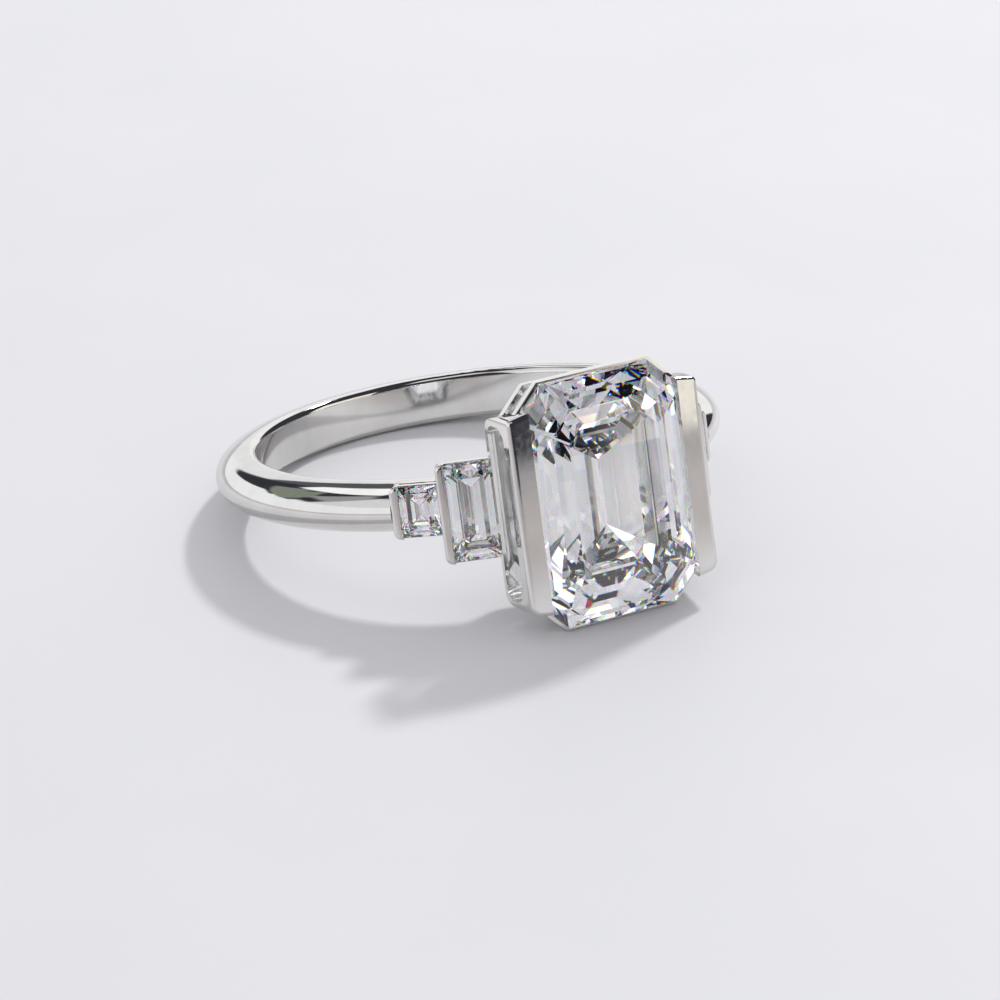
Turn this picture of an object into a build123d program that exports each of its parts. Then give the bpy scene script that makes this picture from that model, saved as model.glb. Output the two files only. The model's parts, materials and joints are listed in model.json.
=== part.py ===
"""Engagement ring: an emerald-cut centre stone held between two flat bars, with two baguettes on
each shoulder stepping down to a plain D-section band.

All lengths are in millimetres. Every piece is drawn with the finger's axis along Z and the centre
stone facing -Y. At the end the whole ring leans back about X, so that it lies on a table as a ring
lies on its side: on the lower end of its head and on the back of the band. Left is -X, right is +X,
upper is +Z and lower is -Z.
"""

from build123d import *

import os
from math import atan2, cos, degrees, hypot, radians, sin, tan

# ---------------------------------------------------------------- driving dimensions
finger_diameter = 16.5
band_width = 1.95
band_thickness = 1.73
band_edge_round = 0.27
shoulder_thickness = 0.70  # of the band where it passes under the side stones

girdle_thickness = 0.12
keel_width = 0.06  # of the narrow flat left along the bottom of a stone

centre_width = 6.9
centre_length = 9.4
centre_corner = 1.19
centre_girdle_radius = 11.6  # from the finger's axis to the centre stone's girdle plane

centre_bar_width = 0.86
centre_bar_overlap = 0.31  # how far a bar reaches over the stone's long edge
centre_bar_rise = 0.66  # of the bar's face above the girdle plane
centre_bar_inner_length = 7.8
centre_bar_outer_length = 7.5
head_wall_depth = 2.06  # from the bar's face back to the finger side of the gallery
head_wall_back_length = 7.16
window_length = 6.76
bar_depth = 0.58  # of the bar in front of the window
wall_back_strip = 0.2  # of the wall behind the window
gallery_rail_depth = 0.26

large_width = 2.04
large_length = 3.76
large_turn = 25.4  # degrees around the finger from the centre stone
large_face_radius = 10.68  # from the finger's axis to the plane of the bars' faces

small_width = 1.62
small_length = 1.95
small_turn = 37.5
small_face_radius = 9.93

side_bar_width = 0.36
side_inner_bar_width = 0.2
side_bar_overlap = 0.09
side_bar_rise = 0.28
rail_width = 0.18

base_width = 4.4
base_length = 4.8
base_opening_width = 2.2
base_opening_length = 3.9
strut_diameter = 0.36
strut_foot_height = 1.3  # of a strut's two ends above the middle of the ring
strut_top_height = 2.75

# ---------------------------------------------------------------- worked out from them
bore_radius = finger_diameter / 2
band_radius = bore_radius + band_thickness
shoulder_radius = bore_radius + shoulder_thickness
half_band = band_width / 2
ring_reach = 2 * band_radius  # longer than any cut has to be

front = Plane(origin=(0, 0, 0), x_dir=(1, 0, 0), z_dir=(0, -1, 0))


def around_finger(turn):
    """Plane through the finger's axis, facing out of the left shoulder at this turn."""
    out = (-sin(radians(turn)), -cos(radians(turn)), 0)
    towards_head = (cos(radians(turn)), -sin(radians(turn)), 0)
    return Plane(origin=(0, 0, 0), x_dir=towards_head, z_dir=out)


large_plane = around_finger(large_turn)
small_plane = around_finger(small_turn)

# ---------------------------------------------------------------- stones
# Each step of a cut is (inset, slope): how far it runs in as a share of half the stone's width,
# and its angle to the girdle plane in degrees.
centre_crown = ((0.145, 44), (0.15, 34), (0.16, 20))
centre_pavilion = ((0.27, 50), (0.33, 41), (0.39, 33))
side_crown = ((0.27, 40), (0.23, 25))
side_pavilion = ((0.4, 46), (0.55, 38))


def facet_outlines(width, steps, direction, start):
    """Heights and insets of the outlines that bound these steps, going away from the girdle."""
    height = start
    inset = 0
    outlines = []
    for share, slope in steps:
        run = share * width / 2
        height += direction * run * tan(radians(slope))
        inset += run
        outlines.append((height, min(inset, (width - keel_width) / 2)))
    return outlines


def step_cut(plane, girdle_radius, width, length, corner, crown, pavilion):
    """Step-cut stone: flat facets between outlines parallel to the girdle."""
    below = facet_outlines(width, pavilion, -1, 0)
    above = facet_outlines(width, crown, 1, girdle_thickness)
    outlines = below[::-1] + [(0, 0), (girdle_thickness, 0)] + above
    with BuildPart() as stone:
        for height, inset in outlines:
            with BuildSketch(plane.offset(girdle_radius + height)):
                Rectangle(width - 2 * inset, length - 2 * inset)
                chamfer(vertices(), corner * (1 - 2 * inset / width))
        loft(ruled=True)
    return stone


centre_stone = step_cut(
    front, centre_girdle_radius, centre_width, centre_length, centre_corner, centre_crown, centre_pavilion
)

large_girdle_radius = large_face_radius - side_bar_rise
small_girdle_radius = small_face_radius - side_bar_rise
side_corner = 0.07
left_large_stone = step_cut(
    large_plane, large_girdle_radius, large_width, large_length, side_corner, side_crown, side_pavilion
)
left_small_stone = step_cut(
    small_plane, small_girdle_radius, small_width, small_length, side_corner, side_crown, side_pavilion
)

# ---------------------------------------------------------------- walls of the centre head
bar_face_radius = centre_girdle_radius + centre_bar_rise
bar_inner_x = centre_width / 2 - centre_bar_overlap
bar_outer_x = bar_inner_x + centre_bar_width
wall_back_radius = bar_face_radius - head_wall_depth
upper_corner_round = 0.22
lower_corner_round = 0.42
bar_edge_round = 0.19
back_corner_round = 0.6
window_front_round = 0.55
window_back_round = 0.42

with BuildPart() as left_head_wall:
    with BuildSketch(front.offset(wall_back_radius)):
        with BuildLine():
            Polyline(
                (-bar_inner_x, centre_bar_inner_length / 2),
                (-bar_outer_x, centre_bar_outer_length / 2),
                (-bar_outer_x, -centre_bar_outer_length / 2),
                (-bar_inner_x, -centre_bar_inner_length / 2),
                close=True,
            )
        make_face()
        fillet(vertices().group_by(Axis.X)[0].sort_by(Axis.Y)[-1], upper_corner_round)
        fillet(vertices().group_by(Axis.X)[0].sort_by(Axis.Y)[0], lower_corner_round)
    extrude(amount=head_wall_depth)
    # Seen from the side, the two ends of the wall slope down a little towards the finger.
    with BuildSketch(Plane.YZ):
        with BuildLine():
            Polyline(
                (-bar_face_radius, centre_bar_inner_length / 2),
                (-wall_back_radius, head_wall_back_length / 2),
                (-wall_back_radius, -head_wall_back_length / 2),
                (-bar_face_radius, -centre_bar_inner_length / 2),
                close=True,
            )
        make_face()
        fillet(vertices().group_by(Axis.X)[-1], back_corner_round)
    extrude(amount=-ring_reach, mode=Mode.INTERSECT)
    # All edges of the bar's face are rounded but the long one that lies on the stone.
    fillet(faces().sort_by(Axis.Y)[0].edges().sort_by(Axis.X)[:-1], bar_edge_round)
    window_depth = head_wall_depth - bar_depth - wall_back_strip
    window_middle = wall_back_radius + wall_back_strip + window_depth / 2
    with BuildSketch(Plane.YZ):
        with Locations((-window_middle, 0)):
            Rectangle(window_depth, window_length)
        fillet(vertices().group_by(Axis.X)[0], window_front_round)
        fillet(vertices().group_by(Axis.X)[-1], window_back_round)
    extrude(amount=-ring_reach, mode=Mode.SUBTRACT)
    add(centre_stone.part, mode=Mode.SUBTRACT)

# ---------------------------------------------------------------- rails round the ends of the head
girdle_rail_depth = 0.26
gallery_inset = 0.25
under_stone_reach = 0.05  # how far a rail reaches in under the stone, before the stone is cut out of it


def end_rail(back_radius, depth, inset):
    """Thin rail that follows the clipped upper end of the centre stone between the two walls."""
    with BuildPart() as rail:
        with BuildSketch(front.offset(back_radius)):
            Rectangle(centre_width + rail_width, centre_length + rail_width - 2 * inset)
            chamfer(vertices(), centre_corner)
            offset(amount=-rail_width - under_stone_reach, mode=Mode.SUBTRACT)
            with Locations((0, -centre_length / 2)):
                Rectangle(2 * centre_width, centre_length + window_length, mode=Mode.SUBTRACT)
        extrude(amount=depth)
        add(centre_stone.part, mode=Mode.SUBTRACT)
        add(left_head_wall.part, mode=Mode.SUBTRACT)
        add(mirror(left_head_wall.part, about=Plane.YZ), mode=Mode.SUBTRACT)
    return rail


upper_girdle_rail = end_rail(centre_girdle_radius - girdle_rail_depth, girdle_rail_depth, 0)
upper_gallery_rail = end_rail(wall_back_radius, gallery_rail_depth, gallery_inset)

# ---------------------------------------------------------------- band
section_reach = band_thickness - band_edge_round  # radial half-axis of the rounded outside
section_root = bore_radius + band_edge_round
bore_edge_round = 0.99 * band_edge_round  # just short of a full quarter, which would leave no edge

side_bar_outer_x = -(small_width / 2 - side_bar_overlap + side_bar_width)

with BuildPart() as band:
    with BuildSketch(Plane.XZ):
        with Locations((section_root, 0)):
            Ellipse(section_reach, half_band)
            with Locations((-section_reach / 2, 0)):
                Rectangle(section_reach, band_width, mode=Mode.SUBTRACT)
        with Locations((section_root - band_edge_round / 2, 0)):
            Rectangle(band_edge_round, band_width)
        fillet(vertices().group_by(Axis.X)[0], bore_edge_round)
    revolve(axis=Axis.Z)
    # The step down to the shoulders, cut flush with the outer faces of the two end bars.
    with BuildSketch(Plane.XY.offset(-band_width)):
        with BuildLine():
            end_low = small_plane.from_local_coords(Vector(side_bar_outer_x, 0, 0))
            end_high = small_plane.from_local_coords(Vector(side_bar_outer_x, 0, ring_reach))
            Polyline(
                (end_low.X, end_low.Y),
                (end_high.X, end_high.Y),
                (-end_high.X, end_high.Y),
                (-end_low.X, end_low.Y),
                close=True,
            )
        make_face()
        Circle(shoulder_radius, mode=Mode.SUBTRACT)
    extrude(amount=2 * band_width, mode=Mode.SUBTRACT)
    # The gap that the head's base fills.
    with BuildSketch(front):
        Rectangle(base_width, 2 * band_width)
    extrude(amount=ring_reach, mode=Mode.SUBTRACT)

# ---------------------------------------------------------------- base and struts of the head
base_rise = 0.04  # of the base over the shoulder of the band
base_radius = shoulder_radius + base_rise
base_corner_round = 0.45

with BuildPart() as head_base:
    with BuildSketch(front.offset(bore_radius / 2)):
        RectangleRounded(base_width, base_length, base_corner_round)
        RectangleRounded(base_opening_width, base_opening_length, base_corner_round, mode=Mode.SUBTRACT)
    extrude(amount=ring_reach)
    Cylinder(base_radius, 2 * base_length, mode=Mode.INTERSECT)
    Cylinder(bore_radius, 2 * base_length, mode=Mode.SUBTRACT)

strut_foot_inset = 0.32  # of the foot's centre from the side and the face of the base
strut_foot = Vector(strut_foot_inset - base_width / 2, strut_foot_inset - base_radius, strut_foot_height)
strut_top = Vector(-(bar_inner_x + bar_outer_x) / 2, -wall_back_radius, strut_top_height)
strut_run = strut_top - strut_foot

with BuildPart() as upper_left_strut:
    with BuildSketch(Plane(origin=strut_foot, z_dir=strut_run)):
        Circle(strut_diameter / 2)
    extrude(amount=strut_run.length + strut_diameter)
    split(bisect_by=front.offset(wall_back_radius), keep=Keep.BOTTOM)
    add(head_base.part, mode=Mode.SUBTRACT)

# ---------------------------------------------------------------- bars of the side stones
side_corner_round = 0.3
side_edge_round = 0.13
thin_edge_round = 0.05
bar_end_margin = 0.06  # of a bar past each end of its stone
square_bar_depth = 0.5  # of the full-length part of a bar, before it tapers down to the band

large_seat_x = large_width / 2 - side_bar_overlap
small_seat_x = small_width / 2 - side_bar_overlap


def side_bar(plane, face_radius, stone_length, low_x, high_x, seats, rounded):
    """Bar along one long edge of a side stone, standing on the shoulder of the band."""
    half_length = stone_length / 2 + bar_end_margin
    width = high_x - low_x
    side_plane = Plane(
        origin=plane.from_local_coords(Vector(low_x, 0, 0)), x_dir=plane.z_dir, z_dir=plane.x_dir
    )
    with BuildPart() as bar:
        with BuildSketch(plane.offset(bore_radius)):
            with Locations((low_x + width / 2, 0)):
                Rectangle(width, 2 * half_length)
            if rounded:
                fillet(vertices().group_by(Axis.X)[0], side_corner_round)
        extrude(amount=face_radius - bore_radius)
        with BuildSketch(side_plane):
            with BuildLine():
                Polyline(
                    (shoulder_radius - square_bar_depth, half_band),
                    (shoulder_radius, half_band),
                    (face_radius - square_bar_depth, half_length),
                    (face_radius, half_length),
                    (face_radius, -half_length),
                    (face_radius - square_bar_depth, -half_length),
                    (shoulder_radius, -half_band),
                    (shoulder_radius - square_bar_depth, -half_band),
                    close=True,
                )
            make_face()
        extrude(amount=width, mode=Mode.INTERSECT)
        face_edges = faces().sort_by(Axis(plane.origin, plane.z_dir))[-1].edges()
        fillet(face_edges, side_edge_round if rounded else thin_edge_round)
        Cylinder(shoulder_radius, 4 * half_band, mode=Mode.SUBTRACT)
        for stone in seats:
            add(stone.part, mode=Mode.SUBTRACT)
    return bar


left_large_outer_bar = side_bar(
    large_plane,
    large_face_radius,
    large_length,
    -large_seat_x - side_bar_width,
    -large_seat_x,
    (left_large_stone, left_small_stone),
    True,
)
left_large_inner_bar = side_bar(
    large_plane,
    large_face_radius,
    large_length,
    large_seat_x,
    large_seat_x + side_inner_bar_width,
    (left_large_stone,),
    False,
)
left_small_outer_bar = side_bar(
    small_plane,
    small_face_radius,
    small_length,
    side_bar_outer_x,
    -small_seat_x,
    (left_small_stone,),
    True,
)

# ---------------------------------------------------------------- rails across the ends of the side stones
side_rail_depth = 0.2
rail_gap = 0.3  # the dark slot between the girdle rail and the gallery rail
large_gallery_inset = 0.12
small_gallery_inset = 0.04


def side_rail(plane, front_radius, outer_length, width, neighbours):
    """Thin rail across the upper end of a side stone, let in between the pieces beside it."""
    with BuildPart() as rail:
        with BuildSketch(plane.offset(front_radius)):
            with Locations((0, outer_length / 2 - rail_width / 2)):
                Rectangle(width, rail_width)
        extrude(amount=-side_rail_depth)
        for neighbour in neighbours:
            add(neighbour.part, mode=Mode.SUBTRACT)
    return rail


large_neighbours = (left_large_outer_bar, left_large_inner_bar, left_large_stone)
small_neighbours = (left_small_outer_bar, left_large_outer_bar, left_small_stone)
large_rail_length = large_length + side_bar_overlap
small_rail_length = small_length + side_bar_overlap
gallery_step = side_rail_depth + rail_gap

left_large_upper_girdle_rail = side_rail(
    large_plane, large_girdle_radius, large_rail_length, large_width, large_neighbours
)
left_large_upper_gallery_rail = side_rail(
    large_plane,
    large_girdle_radius - gallery_step,
    large_rail_length - 2 * large_gallery_inset,
    large_width,
    large_neighbours,
)
left_small_upper_girdle_rail = side_rail(
    small_plane, small_girdle_radius, small_rail_length, small_width, small_neighbours
)
left_small_upper_gallery_rail = side_rail(
    small_plane,
    small_girdle_radius - gallery_step,
    small_rail_length - 2 * small_gallery_inset,
    small_width,
    small_neighbours,
)

# ---------------------------------------------------------------- the other side and the other end


def mirrored(piece, about):
    """The same piece on the other side of a plane."""
    with BuildPart() as copy:
        mirror(piece.part, about=about)
    return copy


pieces = {
    "band": band,
    "head_base": head_base,
    "centre_stone": centre_stone,
    "upper_girdle_rail": upper_girdle_rail,
    "upper_gallery_rail": upper_gallery_rail,
    "lower_girdle_rail": mirrored(upper_girdle_rail, Plane.XY),
    "lower_gallery_rail": mirrored(upper_gallery_rail, Plane.XY),
}
left_pieces = {
    "head_wall": left_head_wall,
    "upper_strut": upper_left_strut,
    "lower_strut": mirrored(upper_left_strut, Plane.XY),
    "large_stone": left_large_stone,
    "large_outer_bar": left_large_outer_bar,
    "large_inner_bar": left_large_inner_bar,
    "large_upper_girdle_rail": left_large_upper_girdle_rail,
    "large_upper_gallery_rail": left_large_upper_gallery_rail,
    "large_lower_girdle_rail": mirrored(left_large_upper_girdle_rail, Plane.XY),
    "large_lower_gallery_rail": mirrored(left_large_upper_gallery_rail, Plane.XY),
    "small_stone": left_small_stone,
    "small_outer_bar": left_small_outer_bar,
    "small_upper_girdle_rail": left_small_upper_girdle_rail,
    "small_upper_gallery_rail": left_small_upper_gallery_rail,
    "small_lower_girdle_rail": mirrored(left_small_upper_girdle_rail, Plane.XY),
    "small_lower_gallery_rail": mirrored(left_small_upper_gallery_rail, Plane.XY),
}
for name, piece in left_pieces.items():
    pieces["left_" + name] = piece
    pieces["right_" + name] = mirrored(piece, Plane.YZ)

# ---------------------------------------------------------------- lean of the ring at rest
# A table top that touches the lower girdle rail's back edge also touches the back of the band.
# The loop settles the angle, because how far the band's section reaches down depends on it.
foot_radius = centre_girdle_radius - girdle_rail_depth
foot_height = (centre_length + rail_width) / 2
lean = 0
for step in range(10):
    section_drop = hypot(section_reach * sin(lean), half_band * cos(lean))
    lean = atan2(foot_height - section_drop / cos(lean), foot_radius + section_root)

os.makedirs("parts", exist_ok=True)
for name, piece in pieces.items():
    resting = Rot(X=-degrees(lean)) * piece.part
    resting.label = name
    export_step(resting, f"parts/{name}.step")
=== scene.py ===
"""Looks of the engagement ring: polished platinum and colourless diamonds on a pale table.

Lengths are in metres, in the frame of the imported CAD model: the origin is the centre of the finger
hole, the table is under the ring, and the head faces -Y. Angles are in degrees. Azimuth 0 is in front
of the head, and 90 is on the right, at +X.
"""

import json
from math import cos, pi, radians, sin

import bmesh
import bpy
from mathutils import Matrix, Vector


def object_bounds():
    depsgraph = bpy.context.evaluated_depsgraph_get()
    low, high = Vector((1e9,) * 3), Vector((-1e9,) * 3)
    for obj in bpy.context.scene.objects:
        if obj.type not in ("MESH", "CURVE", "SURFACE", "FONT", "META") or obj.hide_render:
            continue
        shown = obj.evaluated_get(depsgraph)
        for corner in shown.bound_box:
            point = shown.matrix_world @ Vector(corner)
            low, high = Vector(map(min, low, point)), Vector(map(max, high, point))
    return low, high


MM = 0.001

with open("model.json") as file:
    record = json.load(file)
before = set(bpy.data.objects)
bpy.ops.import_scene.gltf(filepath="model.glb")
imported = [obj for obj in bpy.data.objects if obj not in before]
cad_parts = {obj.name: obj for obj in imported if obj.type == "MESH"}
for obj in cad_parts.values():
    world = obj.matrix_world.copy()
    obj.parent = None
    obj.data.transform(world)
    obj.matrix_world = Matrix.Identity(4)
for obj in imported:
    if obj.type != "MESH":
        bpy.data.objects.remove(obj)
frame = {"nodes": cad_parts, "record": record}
cad_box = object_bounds()
nodes = frame["nodes"]
table_height = cad_box[0][2]


def direction(azimuth, elevation):
    """Unit vector from the middle of the ring."""
    turn = radians(azimuth)
    rise = radians(elevation)
    return Vector((sin(turn) * cos(rise), -cos(turn) * cos(rise), sin(rise)))


# ---------------------------------------------------------------- camera
camera_azimuth = -26.6
camera_elevation = 23.54
camera_roll = -2.41
camera_distance = 189.5 * MM
camera_lens = 173.3  # focal length in millimetres
camera_sensor_width = 36  # in millimetres
camera_nearest = 1 * MM
camera_furthest = 10
# The ring sits a little left of and above the middle of the frame.
aim_right = 1.27 * MM
aim_up = -2.21 * MM


def make_camera():
    """Long lens looking down at the head from its left."""
    roll = Matrix.Rotation(radians(camera_roll), 3, "Z")
    towards_camera = direction(camera_azimuth, camera_elevation)
    place = towards_camera * camera_distance
    facing_ring = (-towards_camera).to_track_quat("-Z", "Y").to_matrix() @ roll
    aim = facing_ring @ Vector((aim_right, aim_up, 0))
    facing_aim = (aim - place).to_track_quat("-Z", "Y").to_matrix() @ roll
    data = bpy.data.cameras.new("camera")
    data.lens = camera_lens
    data.sensor_width = camera_sensor_width
    data.clip_start = camera_nearest
    data.clip_end = camera_furthest
    camera = bpy.data.objects.new("camera", data)
    camera.matrix_world = Matrix.Translation(place) @ facing_aim.to_4x4()
    bpy.context.scene.collection.objects.link(camera)
    bpy.context.scene.camera = camera


# ---------------------------------------------------------------- node helpers
def calculate(tree, kind, operation, values):
    """Adds a maths node. Each value is a number, a vector or another node's output."""
    node = tree.nodes.new(kind)
    node.operation = operation
    for socket, value in zip(node.inputs, values):
        if isinstance(value, bpy.types.NodeSocket):
            tree.links.new(value, socket)
        else:
            socket.default_value = value
    return node


def number(tree, operation, *values):
    """An operation on numbers."""
    return calculate(tree, "ShaderNodeMath", operation, values).outputs["Value"]


def vector(tree, operation, *values):
    """An operation on vectors that gives a vector."""
    return calculate(tree, "ShaderNodeVectorMath", operation, values).outputs["Vector"]


def measure(tree, operation, *values):
    """An operation on vectors that gives a number, such as a length."""
    return calculate(tree, "ShaderNodeVectorMath", operation, values).outputs["Value"]


def scaled(tree, source, factor):
    """A vector times a number."""
    node = calculate(tree, "ShaderNodeVectorMath", "SCALE", (source,))
    tree.links.new(factor, node.inputs["Scale"])
    return node.outputs["Vector"]


def opposite(tree, share):
    """1 where the share is 0, and 0 where it is 1."""
    return number(tree, "SUBTRACT", 1, share)


def either(tree, is_first, first, second):
    """The first number where is_first is 1, and the second where it is 0."""
    from_first = number(tree, "MULTIPLY", first, is_first)
    from_second = number(tree, "MULTIPLY", second, opposite(tree, is_first))
    return number(tree, "ADD", from_first, from_second)


def either_vector(tree, is_first, first, second):
    """The first vector where is_first is 1, and the second where it is 0."""
    from_first = scaled(tree, first, is_first)
    from_second = scaled(tree, second, opposite(tree, is_first))
    return vector(tree, "ADD", from_first, from_second)


def mixed(tree, factor, first, second, blend="MIX"):
    """Two colours, mixed by a factor."""
    node = tree.nodes.new("ShaderNodeMix")
    node.data_type = "RGBA"
    node.blend_type = blend
    tree.links.new(factor, node.inputs["Factor"])
    for socket, value in ((node.inputs["A"], first), (node.inputs["B"], second)):
        if isinstance(value, bpy.types.NodeSocket):
            tree.links.new(value, socket)
        else:
            socket.default_value = (*value, 1)
    return node.outputs["Result"]


def noise(tree, scale, detail):
    """Noise in the object's own space, scale in features per metre."""
    place = tree.nodes.new("ShaderNodeTexCoord")
    texture = tree.nodes.new("ShaderNodeTexNoise")
    texture.inputs["Scale"].default_value = scale
    texture.inputs["Detail"].default_value = detail
    tree.links.new(place.outputs["Object"], texture.inputs["Vector"])
    return texture.outputs["Fac"]


def ramp(tree, source, low, high, low_colour, high_colour):
    """Maps a number between low and high to two colours."""
    node = tree.nodes.new("ShaderNodeValToRGB")
    node.color_ramp.elements[0].position = low
    node.color_ramp.elements[0].color = (*low_colour, 1)
    node.color_ramp.elements[1].position = high
    node.color_ramp.elements[1].color = (*high_colour, 1)
    tree.links.new(source, node.inputs["Fac"])
    return node.outputs["Color"]


def new_material(name):
    """An empty node material with its output node."""
    material = bpy.data.materials.new(name)
    material.use_nodes = True
    tree = material.node_tree
    tree.nodes.clear()
    output = tree.nodes.new("ShaderNodeOutputMaterial")
    return material, tree, output


# ---------------------------------------------------------------- platinum
platinum_roughness = 0.06
roughness_variation = 0.3  # as a share of the roughness, both ways
platinum_shaded = (0.80, 0.79, 0.77)
platinum_bright = (0.86, 0.855, 0.84)
cloud_scale = 900
cloud_detail = 4
grain_scale = 4000
grain_detail = 3
grain_strength = 0.015
grain_depth = 0.01 * MM


def platinum():
    """Polished platinum with a faint cloudiness and the finest polishing marks."""
    material, tree, output = new_material("platinum")
    shader = tree.nodes.new("ShaderNodeBsdfPrincipled")
    shader.inputs["Metallic"].default_value = 1
    cloud = noise(tree, cloud_scale, cloud_detail)
    colour = ramp(tree, cloud, 0.35, 0.65, platinum_shaded, platinum_bright)
    tree.links.new(colour, shader.inputs["Base Color"])
    grain = noise(tree, grain_scale, grain_detail)
    smoothest = platinum_roughness * (1 - roughness_variation)
    roughest = platinum_roughness * (1 + roughness_variation)
    spread = ramp(tree, grain, 0.3, 0.7, (smoothest,) * 3, (roughest,) * 3)
    tree.links.new(spread, shader.inputs["Roughness"])
    bump = tree.nodes.new("ShaderNodeBump")
    bump.inputs["Strength"].default_value = grain_strength
    bump.inputs["Distance"].default_value = grain_depth
    tree.links.new(grain, bump.inputs["Height"])
    tree.links.new(bump.outputs["Normal"], shader.inputs["Normal"])
    tree.links.new(shader.outputs["BSDF"], output.inputs["Surface"])
    return material


# ---------------------------------------------------------------- diamond
diamond_refraction = 2.417
diamond_refraction_by_colour = (
    ((1, 0, 0), 2.409),
    ((0, 1, 0), 2.419),
    ((0, 0, 1), 2.435),
)
tint_scale = 700
tint_detail = 2
tint_cool = (0.975, 0.98, 0.985)
tint_none = (1, 1, 1)


def glass(tree, refraction):
    """Clear glass shader with a refractive index."""
    shader = tree.nodes.new("ShaderNodeBsdfGlass")
    shader.inputs["IOR"].default_value = refraction
    shader.inputs["Roughness"].default_value = 0
    return shader


def diamond():
    """Colourless diamond. Red, green and blue bend a little differently where light first meets it."""
    material, tree, output = new_material("diamond")
    tint = ramp(tree, noise(tree, tint_scale, tint_detail), 0.4, 0.6, tint_cool, tint_none)
    plain = glass(tree, diamond_refraction)
    tree.links.new(tint, plain.inputs["Color"])
    dispersing = None
    for colour, refraction in diamond_refraction_by_colour:
        part = glass(tree, refraction)
        part.inputs["Color"].default_value = (*colour, 1)
        if dispersing is None:
            dispersing = part.outputs["BSDF"]
        else:
            both = tree.nodes.new("ShaderNodeAddShader")
            tree.links.new(dispersing, both.inputs[0])
            tree.links.new(part.outputs["BSDF"], both.inputs[1])
            dispersing = both.outputs["Shader"]
    path = tree.nodes.new("ShaderNodeLightPath")
    mix = tree.nodes.new("ShaderNodeMixShader")
    tree.links.new(path.outputs["Is Camera Ray"], mix.inputs["Fac"])
    tree.links.new(plain.outputs["BSDF"], mix.inputs[1])
    tree.links.new(dispersing, mix.inputs[2])
    tree.links.new(mix.outputs["Shader"], output.inputs["Surface"])
    return material


# ---------------------------------------------------------------- the ring
bore = frame["record"]["mounts"][0]
finger_axis = Vector(bore["axis"])
bore_radius = bore["dims"]["r_mm"] * MM
band_width = 1.95 * MM
band_thickness = 1.73 * MM
band_edge_round = 0.27 * MM
same_surface = 0.9  # cosine between a face and the band's exact surface, over which it belongs to it


def band_shading():
    """Geometry nodes that give the band the exact normals of its section, so reflections run clean.

    The inside of the section is a straight line with two quarter circles, and the outside is half an
    ellipse that starts where the quarter circles end.
    """
    tree = bpy.data.node_groups.new("band_shading", "GeometryNodeTree")
    tree.interface.new_socket("Geometry", in_out="INPUT", socket_type="NodeSocketGeometry")
    tree.interface.new_socket("Geometry", in_out="OUTPUT", socket_type="NodeSocketGeometry")
    start = tree.nodes.new("NodeGroupInput")
    end = tree.nodes.new("NodeGroupOutput")
    axis = tuple(finger_axis)
    place = tree.nodes.new("GeometryNodeInputPosition").outputs["Position"]
    present = tree.nodes.new("GeometryNodeInputNormal").outputs["Normal"]
    along = measure(tree, "DOT_PRODUCT", place, axis)
    across = vector(tree, "SUBTRACT", place, scaled(tree, axis, along))
    radius = measure(tree, "LENGTH", across)
    outwards = vector(tree, "NORMALIZE", across)
    from_root = number(tree, "SUBTRACT", radius, bore_radius + band_edge_round)
    is_outside = number(tree, "GREATER_THAN", from_root, 0)

    ellipse_out = number(tree, "DIVIDE", from_root, (band_thickness - band_edge_round) ** 2)
    ellipse_along = number(tree, "DIVIDE", along, (band_width / 2) ** 2)
    to_side = number(tree, "ABSOLUTE", along)
    past_start = number(tree, "SUBTRACT", to_side, band_width / 2 - band_edge_round)
    past_round = number(tree, "MAXIMUM", past_start, 0)
    round_along = number(tree, "MULTIPLY", past_round, number(tree, "SIGN", along))

    part_out = either(tree, is_outside, ellipse_out, from_root)
    part_along = either(tree, is_outside, ellipse_along, round_along)
    summed = vector(tree, "ADD", scaled(tree, outwards, part_out), scaled(tree, axis, part_along))
    exact = vector(tree, "NORMALIZE", summed)
    likeness = measure(tree, "DOT_PRODUCT", exact, present)
    belongs = number(tree, "GREATER_THAN", likeness, same_surface)
    shade = tree.nodes.new("GeometryNodeSetMeshNormal")
    shade.mode = "FREE"
    shade.domain = "CORNER"
    tree.links.new(start.outputs[0], shade.inputs["Mesh"])
    tree.links.new(either_vector(tree, belongs, exact, present), shade.inputs["Custom Normal"])
    tree.links.new(shade.outputs[0], end.inputs[0])
    return tree


def dress_ring():
    """Diamond on the stones, platinum on the rest, and clean shading on the band."""
    metal = platinum()
    stone = diamond()
    for name, node in nodes.items():
        node.data.materials.clear()
        node.data.materials.append(stone if name.endswith("stone") else metal)
    smooth = nodes["band"].modifiers.new("band_shading", "NODES")
    smooth.node_group = band_shading()


# ---------------------------------------------------------------- table
table_radius = 100 * MM
table_edges = 96
table_roughness = 0.55
table_noise_scale = 60
table_noise_detail = 3
table_shaded = (0.785, 0.795, 0.82)
table_bright = (0.80, 0.805, 0.83)
# Colours of the table as the metal mirrors it, with painted shade, as (millimetres from the metal,
# colour): a painted shadow of the ring close to the metal, lightest a little way off, then painted shade,
# darker and warm, and darkest and cool at the far edge.
mirrored_table_painted_shade = (
    (5, (0.68, 0.68, 0.69)),
    (14, (0.78, 0.78, 0.80)),
    (35, (0.58, 0.55, 0.535)),
    (60, (0.56, 0.53, 0.515)),
    (92, (0.36, 0.36, 0.385)),
)


def painted_shade_in_mirror(tree, distance):
    """The table's colour in the metal, with painted shade, by how far from the metal it lies."""
    furthest = mirrored_table_painted_shade[-1][0]
    node = tree.nodes.new("ShaderNodeValToRGB")
    tree.links.new(number(tree, "DIVIDE", distance, furthest * MM), node.inputs["Fac"])
    stops = node.color_ramp.elements
    while len(stops) < len(mirrored_table_painted_shade):
        stops.new(1)
    for stop, (millimetres, colour) in zip(stops, mirrored_table_painted_shade):
        stop.position = millimetres / furthest
        stop.color = (*colour, 1)
    return node.outputs["Color"]


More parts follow.
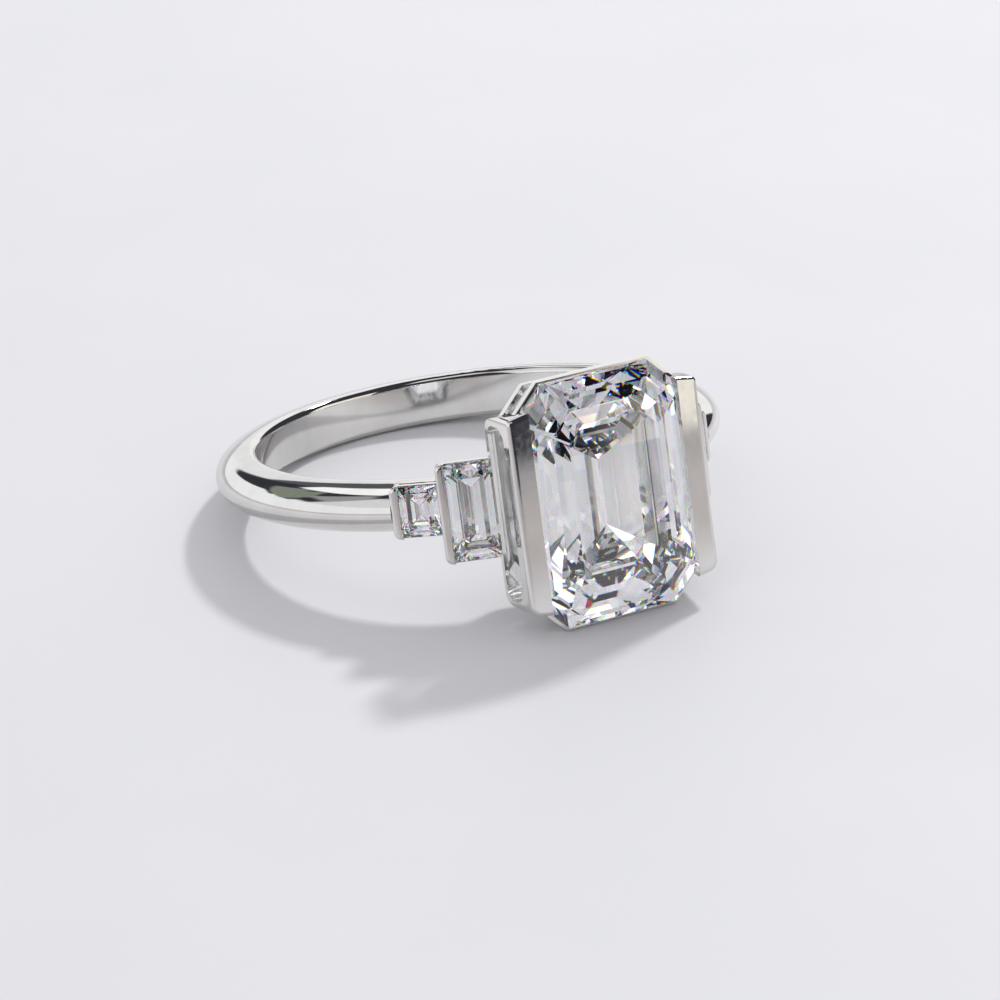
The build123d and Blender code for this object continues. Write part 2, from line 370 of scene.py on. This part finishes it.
def table_top():
    """Pale, almost neutral table with the softest sheen.

    The metal mirrors it with painted shade that the camera doesn't see: a painted shadow of the ring close
    to the metal, lightest a little way off, then darker and warm, and darkest and cool at its far edge.
    This is a choice for the look.
    """
    material, tree, output = new_material("table_top")
    shader = tree.nodes.new("ShaderNodeBsdfPrincipled")
    cloud = noise(tree, table_noise_scale, table_noise_detail)
    plain = ramp(tree, cloud, 0.4, 0.6, table_shaded, table_bright)
    path = tree.nodes.new("ShaderNodeLightPath")
    # Painted shade: rays mirrored by the metal see the table darker by how far it lies, in place of real
    # shadow and shade.
    painted_shade_in_metal = painted_shade_in_mirror(tree, path.outputs["Ray Length"])
    not_through_stone = opposite(tree, path.outputs["Is Transmission Ray"])
    is_mirrored = number(tree, "MULTIPLY", path.outputs["Is Glossy Ray"], not_through_stone)
    tree.links.new(mixed(tree, is_mirrored, plain, painted_shade_in_metal), shader.inputs["Base Color"])
    shader.inputs["Roughness"].default_value = table_roughness
    tree.links.new(shader.outputs["BSDF"], output.inputs["Surface"])
    return material


def make_table():
    """A round table top, large enough to fill the views from above."""
    mesh = bpy.data.meshes.new("table")
    shape = bmesh.new()
    bmesh.ops.create_circle(shape, cap_ends=True, segments=table_edges, radius=table_radius)
    shape.to_mesh(mesh)
    shape.free()
    table = bpy.data.objects.new("table", mesh)
    table.location.z = table_height
    mesh.materials.append(table_top())
    bpy.context.scene.collection.objects.link(table)


# ---------------------------------------------------------------- light
key_azimuth = 118
key_elevation = 45
key_distance = 0.6
key_size = 0.06
key_power = 1.6  # in watts


def make_key_light():
    """Square soft light from the right and behind, aimed at the ring."""
    data = bpy.data.lights.new("key", "AREA")
    data.size = key_size
    data.energy = key_power
    light = bpy.data.objects.new("key", data)
    way = direction(key_azimuth, key_elevation)
    facing = way.to_track_quat("Z", "Y").to_matrix()
    light.matrix_world = Matrix.Translation(way * key_distance) @ facing.to_4x4()
    bpy.context.scene.collection.objects.link(light)


# ---------------------------------------------------------------- room
# Walls and panels round the table, as (azimuth, elevation, half width, half height, slant, soft edge,
# colour). The slant is how many degrees a panel leans sideways for each degree upwards, from its
# azimuth at the horizon. A later one hides an earlier one.
room_panels = (
    (145, 8, 17.5, 50, 0, 1, (0.97, 0.97, 0.98)),  # wall behind, on the right
    (165, -11, 7, 30, 0, 1.5, (0.86, 0.86, 0.87)),  # low walls straight behind
    (180, -16, 13, 24, 0, 1.5, (0.92, 0.92, 0.94)),
    (-162, 2, 31, 22, 1.2, 1, (0.94, 0.94, 0.96)),  # slanted wall behind, on the left
    (-141, 8, 12, 19, 0, 1, (0.94, 0.94, 0.96)),
    (-92, 36, 34, 26, 0, 3, (0.74, 0.74, 0.75)),  # large panel on the left
    (-98, 4, 40, 28, 0, 3, (0.94, 0.94, 0.96)),  # its brighter lower part
    (-160, 31, 17, 5, 0, 0.8, (0.23, 0.26, 0.21)),  # grey-green curtain
    (-158, 37, 12, 5, 0, 0.8, (0.23, 0.26, 0.21)),
    (-138, 50, 14, 9, 0, 2, (0.34, 0.34, 0.35)),  # grey ceiling, on the left
    (138.4, 45, 14, 14.5, 0.9, 0.7, (1.08, 1.08, 1.08)),  # skylight
    (167.5, 39, 5.5, 20, 0, 1, (0.10, 0.10, 0.11)),  # door frame
    (47.5, 14, 21.5, 20, 0, 0.5, (1.0, 0.95, 0.86)),  # warm panel in front, on the right
    (-26, 66, 40, 9, 0, 5, (0.90, 0.90, 0.92)),  # over the camera
)
room_dark = (0.035, 0.037, 0.048)  # wherever there is no panel
room_backdrop = (0.80, 0.82, 0.87)  # the room as the camera sees it
# The next two are choices for the look. The second is far brighter than the dark parts of the room.
table_fill = (0.69, 0.68, 0.705)  # even light that the table gets in place of the room's
stone_lift = (0.72, 0.71, 0.75)  # added to the whole room for light that has come through a stone


def within(tree, source, middle, half_width, edge):
    """1 where an angle is near the middle value and 0 elsewhere, with soft edges. source is in radians."""
    away = number(tree, "WRAP", number(tree, "SUBTRACT", source, radians(middle)), pi, -pi)
    fade = tree.nodes.new("ShaderNodeMapRange")
    fade.interpolation_type = "SMOOTHSTEP"
    fade.inputs["From Min"].default_value = radians(half_width + edge)
    fade.inputs["From Max"].default_value = radians(half_width - edge)
    tree.links.new(number(tree, "ABSOLUTE", away), fade.inputs["Value"])
    return fade.outputs["Result"]


def make_world():
    """Dark room with soft panels for the metal and stones to mirror, before a pale backdrop."""
    world = bpy.data.worlds.new("room")
    world.use_nodes = True
    tree = world.node_tree
    tree.nodes.clear()
    output = tree.nodes.new("ShaderNodeOutputWorld")
    place = tree.nodes.new("ShaderNodeTexCoord")
    split = tree.nodes.new("ShaderNodeSeparateXYZ")
    tree.links.new(place.outputs["Generated"], split.inputs[0])
    forward = number(tree, "MULTIPLY", split.outputs["Y"], -1)
    turn = number(tree, "ARCTAN2", split.outputs["X"], forward)
    rise = number(tree, "ARCSINE", split.outputs["Z"])
    colour = room_dark
    for azimuth, elevation, half_width, half_height, slant, edge, panel_colour in room_panels:
        upright_turn = number(tree, "SUBTRACT", turn, number(tree, "MULTIPLY", rise, slant))
        in_width = within(tree, upright_turn, azimuth, half_width, edge)
        in_height = within(tree, rise, elevation, half_height, edge)
        inside = number(tree, "MULTIPLY", in_width, in_height)
        colour = mixed(tree, inside, colour, panel_colour)
    path = tree.nodes.new("ShaderNodeLightPath")
    colour = mixed(tree, path.outputs["Is Transmission Ray"], colour, stone_lift, "ADD")
    colour = mixed(tree, path.outputs["Is Diffuse Ray"], colour, table_fill)
    colour = mixed(tree, path.outputs["Is Camera Ray"], colour, room_backdrop)
    room = tree.nodes.new("ShaderNodeBackground")
    tree.links.new(colour, room.inputs["Color"])
    tree.links.new(room.outputs["Background"], output.inputs["Surface"])
    bpy.context.scene.world = world


# ---------------------------------------------------------------- scene
stone_bounces = 32  # light crosses a step-cut stone many times before it leaves
metal_bounces = 12

make_camera()
dress_ring()
make_table()
make_world()
make_key_light()

scene = bpy.context.scene
scene.view_settings.view_transform = "Standard"
scene.cycles.max_bounces = stone_bounces
scene.cycles.transmission_bounces = stone_bounces
scene.cycles.glossy_bounces = metal_bounces
